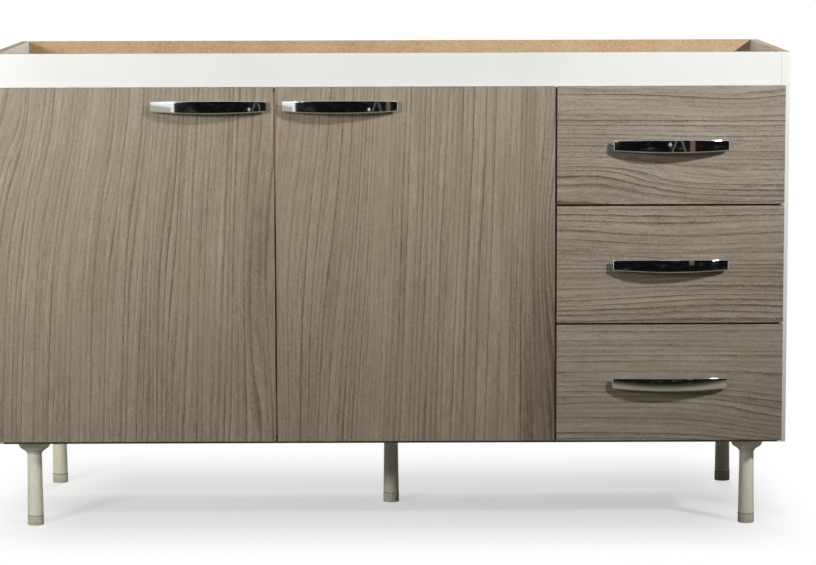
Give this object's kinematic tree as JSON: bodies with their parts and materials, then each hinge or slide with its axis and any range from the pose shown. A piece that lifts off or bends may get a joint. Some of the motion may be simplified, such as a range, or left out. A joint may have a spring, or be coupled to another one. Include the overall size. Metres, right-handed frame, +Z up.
{
  "type": "kitchen base cabinet",
  "caption": "Open-topped kitchen base cabinet for a sink, with hinged doors beside a stack of drawers, bow handles and adjustable legs.",
  "frame": {"origin": "on the floor, under the middle of the cabinet's overall box, handles included", "axes": "+X to the right seen from the front, +Y to the back, +Z up"},
  "size_m": [1.44, 0.5525, 0.87],
  "materials": {
    "white_board": "white melamine on chipboard, satin",
    "grained_board": "grey-brown wood-grain melamine, matt",
    "raw_chipboard": "uncoated chipboard",
    "hardboard": "thin brown hardboard",
    "dowel_wood": "plain beech",
    "handle_chrome": "polished chrome plate",
    "hardware_steel": "zinc-plated steel",
    "leg_plastic": "cream moulded plastic"
  },
  "bodies": {
    "carcass": {"side_panel_left": "white_board", "side_panel_right": "white_board", "base_panel": "white_board", "divider_panel": "white_board", "front_top_rail": "white_board", "rear_top_rail": "raw_chipboard", "back_panel_left": "hardboard", "back_panel_right": "hardboard", "carcass_dowels": "dowel_wood", "carcass_screws": "hardware_steel", "back_nails": "hardware_steel", "carcass_wood_screws": "hardware_steel", "hinge_plates": "hardware_steel", "hinge_arms": "hardware_steel", "hinge_arm_screws": "hardware_steel", "hinge_pins": "hardware_steel", "runner_cabinet_members": "hardware_steel", "leg_front_left": "leg_plastic", "leg_front_right": "leg_plastic", "leg_rear_left": "leg_plastic", "leg_rear_right": "leg_plastic", "leg_middle": "leg_plastic"},
    "door_left": {"door_left_panel": "grained_board", "door_left_handle": "handle_chrome", "door_left_hinge_cups": "hardware_steel", "door_left_screws": "hardware_steel"},
    "door_right": {"door_right_panel": "grained_board", "door_right_handle": "handle_chrome", "door_right_hinge_cups": "hardware_steel", "door_right_screws": "hardware_steel"},
    "drawer_bottom": {"drawer_bottom_front": "grained_board", "drawer_bottom_sides": "white_board", "drawer_bottom_back": "white_board", "drawer_bottom_base": "hardboard", "drawer_bottom_handle": "handle_chrome", "drawer_bottom_runner_members": "hardware_steel", "drawer_bottom_fasteners": "hardware_steel"},
    "runner_bottom": {"runner_bottom_middle_members": "hardware_steel"},
    "drawer_middle": {"drawer_middle_front": "grained_board", "drawer_middle_sides": "white_board", "drawer_middle_back": "white_board", "drawer_middle_base": "hardboard", "drawer_middle_handle": "handle_chrome", "drawer_middle_runner_members": "hardware_steel", "drawer_middle_fasteners": "hardware_steel"},
    "runner_middle": {"runner_middle_middle_members": "hardware_steel"},
    "drawer_top": {"drawer_top_front": "grained_board", "drawer_top_sides": "white_board", "drawer_top_back": "white_board", "drawer_top_base": "hardboard", "drawer_top_handle": "handle_chrome", "drawer_top_runner_members": "hardware_steel", "drawer_top_fasteners": "hardware_steel"},
    "runner_top": {"runner_top_middle_members": "hardware_steel"},
    "foot_front_left": {"foot_front_left": "leg_plastic"},
    "foot_front_right": {"foot_front_right": "leg_plastic"},
    "foot_rear_left": {"foot_rear_left": "leg_plastic"},
    "foot_rear_right": {"foot_rear_right": "leg_plastic"},
    "foot_middle": {"foot_middle": "leg_plastic"}
  },
  "joints": [
    {"name": "door_left_hinge", "type": "hinge", "parent": "carcass", "child": "door_left", "pos_m": [-0.704, -0.23745, 0.488], "axis": [0, 0, -1], "range_deg": [0, 95]},
    {"name": "door_right_hinge", "type": "hinge", "parent": "carcass", "child": "door_right", "pos_m": [0.291, -0.23745, 0.488], "axis": [0, 0, -1], "range_deg": [-95, 0]},
    {"name": "drawer_bottom_slide", "type": "slide", "parent": "carcass", "child": "drawer_bottom", "axis": [0, -1, 0], "range_m": [0, 0.38]},
    {"name": "runner_bottom_slide", "type": "slide", "parent": "carcass", "child": "runner_bottom", "axis": [0, -1, 0], "range_m": [0, 0.19]},
    {"name": "drawer_middle_slide", "type": "slide", "parent": "carcass", "child": "drawer_middle", "axis": [0, -1, 0], "range_m": [0, 0.38]},
    {"name": "runner_middle_slide", "type": "slide", "parent": "carcass", "child": "runner_middle", "axis": [0, -1, 0], "range_m": [0, 0.19]},
    {"name": "drawer_top_slide", "type": "slide", "parent": "carcass", "child": "drawer_top", "axis": [0, -1, 0], "range_m": [0, 0.38]},
    {"name": "runner_top_slide", "type": "slide", "parent": "carcass", "child": "runner_top", "axis": [0, -1, 0], "range_m": [0, 0.19]},
    {"name": "foot_front_left_screw", "type": "slide", "parent": "carcass", "child": "foot_front_left", "axis": [0, 0, -1], "range_m": [0, 0.012]},
    {"name": "foot_front_right_screw", "type": "slide", "parent": "carcass", "child": "foot_front_right", "axis": [0, 0, -1], "range_m": [0, 0.012]},
    {"name": "foot_rear_left_screw", "type": "slide", "parent": "carcass", "child": "foot_rear_left", "axis": [0, 0, -1], "range_m": [0, 0.012]},
    {"name": "foot_rear_right_screw", "type": "slide", "parent": "carcass", "child": "foot_rear_right", "axis": [0, 0, -1], "range_m": [0, 0.012]},
    {"name": "foot_middle_screw", "type": "slide", "parent": "carcass", "child": "foot_middle", "axis": [0, 0, -1], "range_m": [0, 0.012]}
  ],
  "couplings": [
    {"joint": "runner_bottom_slide", "follows": "drawer_bottom_slide", "ratio": 0.5},
    {"joint": "runner_middle_slide", "follows": "drawer_middle_slide", "ratio": 0.5},
    {"joint": "runner_top_slide", "follows": "drawer_top_slide", "ratio": 0.5}
  ]
}
